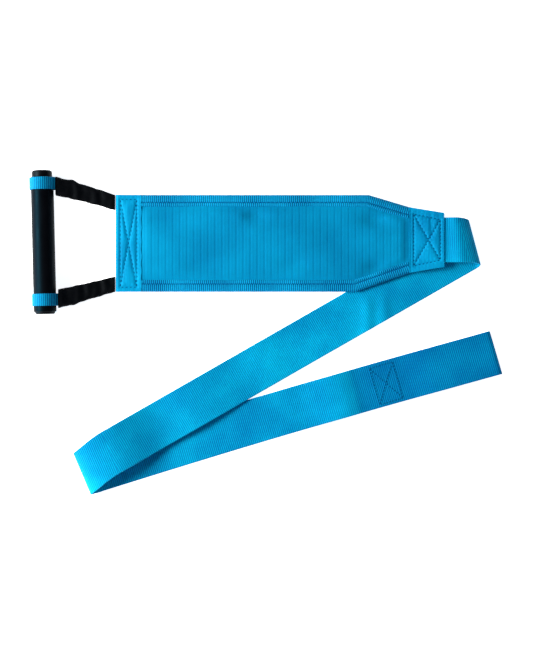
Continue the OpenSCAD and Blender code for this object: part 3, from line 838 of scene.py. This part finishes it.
# The first row of places reaches 1 mm further over the panel, as the patch's turned edge.
x = np.linspace(tab_start, tab_end, 70)[:, None]
x[0] -= 1 * mm
x, y = patch_grid(x, 150)
teeth = 0.5 * mm * np.sin(2 * pi * y / teeth_pitch) - 0.3 * mm
teeth = teeth * soft((x - tab_end + 2.5 * mm) / (2.5 * mm))
fold_roll = 0.45 * mm * np.exp(-((x - tab_start - 1.6 * mm) / (1.6 * mm)) ** 2)
off = ((x - tab_end + 14.5 * mm) / (2.6 * mm)) ** 2 + ((y - right_y - 16 * mm) / (11 * mm)) ** 2
dimple = 0.8 * mm * np.exp(-off)
crimp = 0.18 * mm * np.sin(2 * pi * y / teeth_pitch) * soft((x - tab_end + 3 * mm) / (3 * mm))
middle = np.stack([x + teeth, y, tab_level(x, y) + fold_roll + crimp - dimple], 2)
front = cloth("right_tab_front_cloth", middle, tab_t, np.stack([y, x], 2), tab_blue, "panel")
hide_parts("right_tab_front")
back_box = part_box("right_tab_back")
x, y = patch_grid(np.linspace(tab_start, tab_end, 24)[:, None], 30)
z = (back_box[0].z + back_box[1].z) / 2 + lifted(x) * 0.98
z = z + 0.05 * mm * np.sin(x / (5 * mm)) * np.sin(y / (7 * mm))
middle = np.stack([x, y, z], 2)
back = cloth("right_tab_back_cloth", middle, 0.7 * mm, np.stack([y, x], 2), tab_blue, "panel")
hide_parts("right_tab_back")
seam = stitched("right_tab_stitches", patch_box, lambda x, y: tab_level(x, y) + 0.3 * mm,
                0.45 * mm, patch_pitch, thread_navy, "panel", 0.58)
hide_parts("right_tab_stitching")

# Handle webbing: a blue tape round the grip at each end, its two legs laid together and led
# through the black sleeve to the panel. Ribs lie along the grip.
grip_at = np.array(joint["grip_turn"]["pos_m"])
grip_axis = np.array(joint["grip_turn"]["axis"])
grip_axis = grip_axis / np.linalg.norm(grip_axis)
grip_out = np.array([grip_axis[1], -grip_axis[0], 0])
webbing_w = 13.5 * mm
webbing_t = 1.5 * mm
webbing_rib = 0.3 * mm
loop_r = 12.7 * mm + webbing_t / 2
loop_at = 64.5 * mm
leg_at = 45.5 * mm
leg_from = 15.5 * mm
leg_to = panel_x - 0.6 * mm - grip_at[0]
closing = radians(39)


def leg_ends(side):
    """The two ends of a leg's middle line: just off the grip, and at the panel's edge."""
    start = grip_at + grip_axis * side * loop_at + grip_out * leg_from
    return start, np.array([grip_at[0] + leg_to, panel_y + side * leg_at, face_low + 1.5 * mm])


def loop_webbing(side):
    """The tape's path starts at the panel, runs up the top of the leg, round the grip and back
    under the leg. Off the grip it follows the tangents to where they meet."""
    which = "upper" if side > 0 else "lower"
    ring = arc([0, 0], loop_r, 90 - degrees(closing), 270 + degrees(closing), 60)
    tangent = loop_r / sin(closing) - 1.2 * mm
    ply = webbing_t / 2 + 0.01 * mm
    top = np.array([[leg_to, ply], [tangent + 4 * mm, ply], [tangent, 0.9 * mm]])
    s, line = paced(np.concatenate([top, ring, top[::-1] * [1, -1]]), 0.45 * mm)
    b, share = across(webbing_w, 8, 0.6 * mm)
    start, end = leg_ends(side)
    leg = start + (end - start) * np.maximum((line[:, :1] - leg_from) / (leg_to - leg_from), 0)
    away = soft((line[:, :1] - 14 * mm) / (10 * mm))
    round_grip = grip_at + grip_axis * side * loop_at + grip_out * line[:, :1]
    path = round_grip * (1 - away) + leg * away
    path[:, 2] = path[:, 2] + line[:, 1]
    middle = path[:, None] + grip_axis * b[:, None]
    ribs = webbing_rib * (np.sin(2 * pi * s / (2.25 * mm)) * 0.5 + 0.5)[:, None]
    flat = np.stack([b + 0 * s[:, None], s[:, None] + 0 * b], 2)
    thickness = (webbing_t - webbing_rib + ribs) * share
    obj = cloth("webbing_" + which, middle, thickness, flat, webbing_blue, "handle_bail")
    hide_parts("handle_webbing_" + which)


loop_webbing(1)
loop_webbing(-1)

# Sleeves: black nylon sleeve pulled over each leg, flattened and crumpled, wider at the grip.
# It is only held by its own squeeze on the webbing, so its mouth stays open.
sleeve_wall = 0.7 * mm
sleeve_w = 17.2 * mm
sleeve_h = 5.7 * mm
mouth_more_w = 3.8 * mm
mouth_more_h = 9.7 * mm


def black_cloth(name):
    """Black coated nylon: fine weave, worn paler on the crumples, with a dull bluish sheen."""
    material, shader, x, y, place = surface(name)
    weave = (x / (0.8 * mm)).wave() * (y / (0.8 * mm)).wave()
    worn = x.noise(place, 120.0, 4.0)
    colour = (worn ** 3.0 * 1.6).blended(srgb(1, 1, 1), srgb(10, 9, 13))
    return dressed(material, shader, colour, 0.42 + worn * 0.3, weave + worn * 2.0, 0.08 * mm,
                   Specular_IOR_Level=0.07, Specular_Tint=(0.7, 0.85, 1, 1))


sleeve_black = black_cloth("sleeve cloth")


def sleeve(side):
    """Rings with square shoulders along the leg; width and height ease down from the grip, and the
    mouth has slid a little way in along it. Slanting folds, which fade out at both ends, push the
    skin, and it then returns inside the wall."""
    which = "upper" if side > 0 else "lower"
    start, end = leg_ends(side)
    q = np.linspace(0, 1, 90)[:, None]
    a = np.linspace(0, 2 * pi, 64, endpoint=False)
    k = (np.abs(np.cos(a)) ** 5 + np.abs(np.sin(a)) ** 5) ** (-1 / 5)
    w = sleeve_w + mouth_more_w * (1 - q) ** 1.3
    h = sleeve_h + mouth_more_h * (1 - q) ** 4
    folds = np.sin(q * 23 + 2 * np.cos(a + side) + side) * 0.5 + np.sin(q * 41 - 3 * np.sin(a) + 2) * 0.3
    crumple = 0.75 * mm * folds * soft(q / 0.12) * soft((1.02 - q) / 0.12)
    bulge = 1.6 * mm * np.exp(-((q - 0.28) / 0.07) ** 2) * np.clip(np.cos(a) * side, 0, 1)
    slid = (2 + side) * mm * (1 - q) ** 2 * grip_axis * -side
    shells = []
    for wall in (0, sleeve_wall):
        wide = w / 2 - wall + crumple * 0.7 + bulge
        tall = h / 2 - wall + crumple
        centre = start + (end - start) * q + slid
        ring = np.stack([0 * tall, k * np.cos(a) * wide, k * np.sin(a) * tall], 2)
        shells.append(centre[:, None] + ring)
    rings = np.concatenate([shells[0], shells[1][::-1]])
    rows, cols = rings.shape[:2]
    i = np.arange(rows * cols).reshape(rows, cols)
    right = np.roll(i, -1, 1)
    down = np.roll(i, -1, 0)
    quads = np.stack([i, right, np.roll(right, -1, 0), down], 2).reshape(-1, 4)
    length = np.linalg.norm(end - start)
    far = np.concatenate([q, q[::-1]]) * length
    flat = np.stack([a * 9 * mm + 0 * far, far + 0 * a], 2).reshape(-1, 2)
    obj = grown("sleeve_" + which + "_cloth", rings.reshape(-1, 3), quads, flat, sleeve_black,
                "handle_bail", 60)
    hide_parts("sleeve_" + which)


sleeve(1)
sleeve(-1)

# Grip: a rigid black tube that turns freely in the two tape loops. Satin black rubber-like skin
# with fine turning marks; both ends are closed by push-in caps with rounded heads.
grip_r = 12.6 * mm
bore_r = 9 * mm
rim_r = 0.8 * mm
tube_from = -77.75 * mm
tube_to = 72.25 * mm


def satin_black(name, gloss, tint):
    """Satin black plastic: near black, fine rings round the axis, uneven handling polish."""
    material, shader, x, y, place = surface(name)
    stretched = x.make("ShaderNodeCombineXYZ", {}, {0: x * 0.05, 1: y})
    rings = x.make("ShaderNodeTexNoise", {"noise_dimensions": "2D"},
                   {"Vector": stretched, "Scale": 900.0, "Detail": 3.0}, "Fac")
    rub = x.noise(place, 55.0, 3.0)
    colour = (rub * 0.7 + rings * 0.3).blended(srgb(2, 1, 1), srgb(10, 8, 10))
    rough = 0.3 + rub * 0.22 + rings * 0.08
    return dressed(material, shader, colour, rough, rings + rub * 0.5, 0.03 * mm,
                   Specular_IOR_Level=gloss, Specular_Tint=tint)


def turned_part(name, profile, material, body):
    """Solid of revolution about the grip's axis: rings of a profile in (radius, place along)."""
    a = np.linspace(0, 2 * pi, 72, endpoint=False)
    up = np.array([0, 0, 1])
    r, t = profile[:, :1], profile[:, 1:]
    rings = (grip_at + grip_axis * t[..., None]
             + grip_out * (r * np.cos(a))[..., None] + up * (r * np.sin(a))[..., None])
    flat = np.stack([a * grip_r + 0 * t, t + 0 * a], 2)
    return ringed(name, rings, flat, material, body, 40)


grip_black = satin_black("grip skin", 0.06, (0.02, 0.55, 0.9, 1))
cap_black = satin_black("end cap", 0.09, (0.45, 0.75, 0.9, 1))
body_line = np.linspace(tube_from + 1 * mm, tube_to - 1 * mm, 60)[:, None]
profile = np.concatenate([
    [[bore_r, tube_from]],
    arc([grip_r - rim_r, tube_from + rim_r], rim_r, 270, 360, 6),
    np.concatenate([grip_r + 0 * body_line, body_line], 1),
    arc([grip_r - rim_r, tube_to - rim_r], rim_r, 0, 90, 6),
    [[bore_r, tube_to]]])
grip = turned_part("grip_skin", profile, grip_black, "grip")
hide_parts("grip_tube")
cap_r = 11.2 * mm
cap_round = 2.2 * mm
plug_len = 15 * mm
for name, base, head, way in (("upper", tube_to, 7 * mm, 1), ("lower", tube_from, 2.6 * mm, -1)):
    profile = np.concatenate([
        [[bore_r, -plug_len], [bore_r, -0.2 * mm], [cap_r, 0.05 * mm]],
        arc([cap_r - cap_round, head - cap_round], cap_round, 0, 90, 10),
        [[5 * mm, head + 0.02 * mm], [0.4 * mm, head + 0.03 * mm]]])
    profile[:, 1] = base + way * profile[:, 1]
    cap = turned_part("cap_" + name, profile, cap_black, "grip")
    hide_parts("end_cap_" + name)

# Table and studio: a pale plain floor that glows a little, so it stays clean under the belt. A broad
# soft key light and a low blue one graze the cloth from the left, and a weak fill comes from the
# front. The camera looks straight down.
bpy.ops.mesh.primitive_plane_add(size=60, location=(0, 0, -0.0001))
floor = bpy.context.active_object
floor.name = "floor"
paper = bpy.data.materials.new("paper")
paper.use_nodes = True
for key, value in (("Base Color", (0.93, 0.93, 0.93, 1)), ("Roughness", 0.9),
                   ("Emission Color", (1, 1, 1, 1)), ("Emission Strength", 0.9)):
    paper.node_tree.nodes["Principled BSDF"].inputs[key].default_value = value
floor.data.materials.append(paper)


def lamp(name, at, width, power, colour=(1, 1, 1)):
    """A square soft light that faces the belt's middle."""
    light = bpy.data.lights.new(name, "AREA")
    light.size = width
    light.energy = power
    light.color = colour
    obj = bpy.data.objects.new(name, light)
    bpy.context.scene.collection.objects.link(obj)
    obj.location = at
    obj.rotation_euler = Vector(at).to_track_quat("Z", "Y").to_euler()


lamp("key", (-1.75, 0.2, 1.15), 0.9, 97, (1, 0.98, 0.93))
lamp("fill", (0.5, -1.5, 1.5), 1.4, 5)
lamp("low", (-1.6, -0.3, 0.13), 0.5, 26, (0.06, 0.65, 1))
world = bpy.data.worlds.new("studio")
bpy.context.scene.world = world
world.use_nodes = True
world.node_tree.nodes["Background"].inputs["Color"].default_value = (0.5, 0.72, 1, 1)
world.node_tree.nodes["Background"].inputs["Strength"].default_value = 0.26
camera = bpy.data.cameras.new("camera")
camera.lens = 86.9
view = bpy.data.objects.new("camera", camera)
bpy.context.scene.collection.objects.link(view)
view.location = (-0.0001, 0.0002, 1.8)
bpy.context.scene.camera = view
bpy.context.scene.view_settings.view_transform = "Standard"
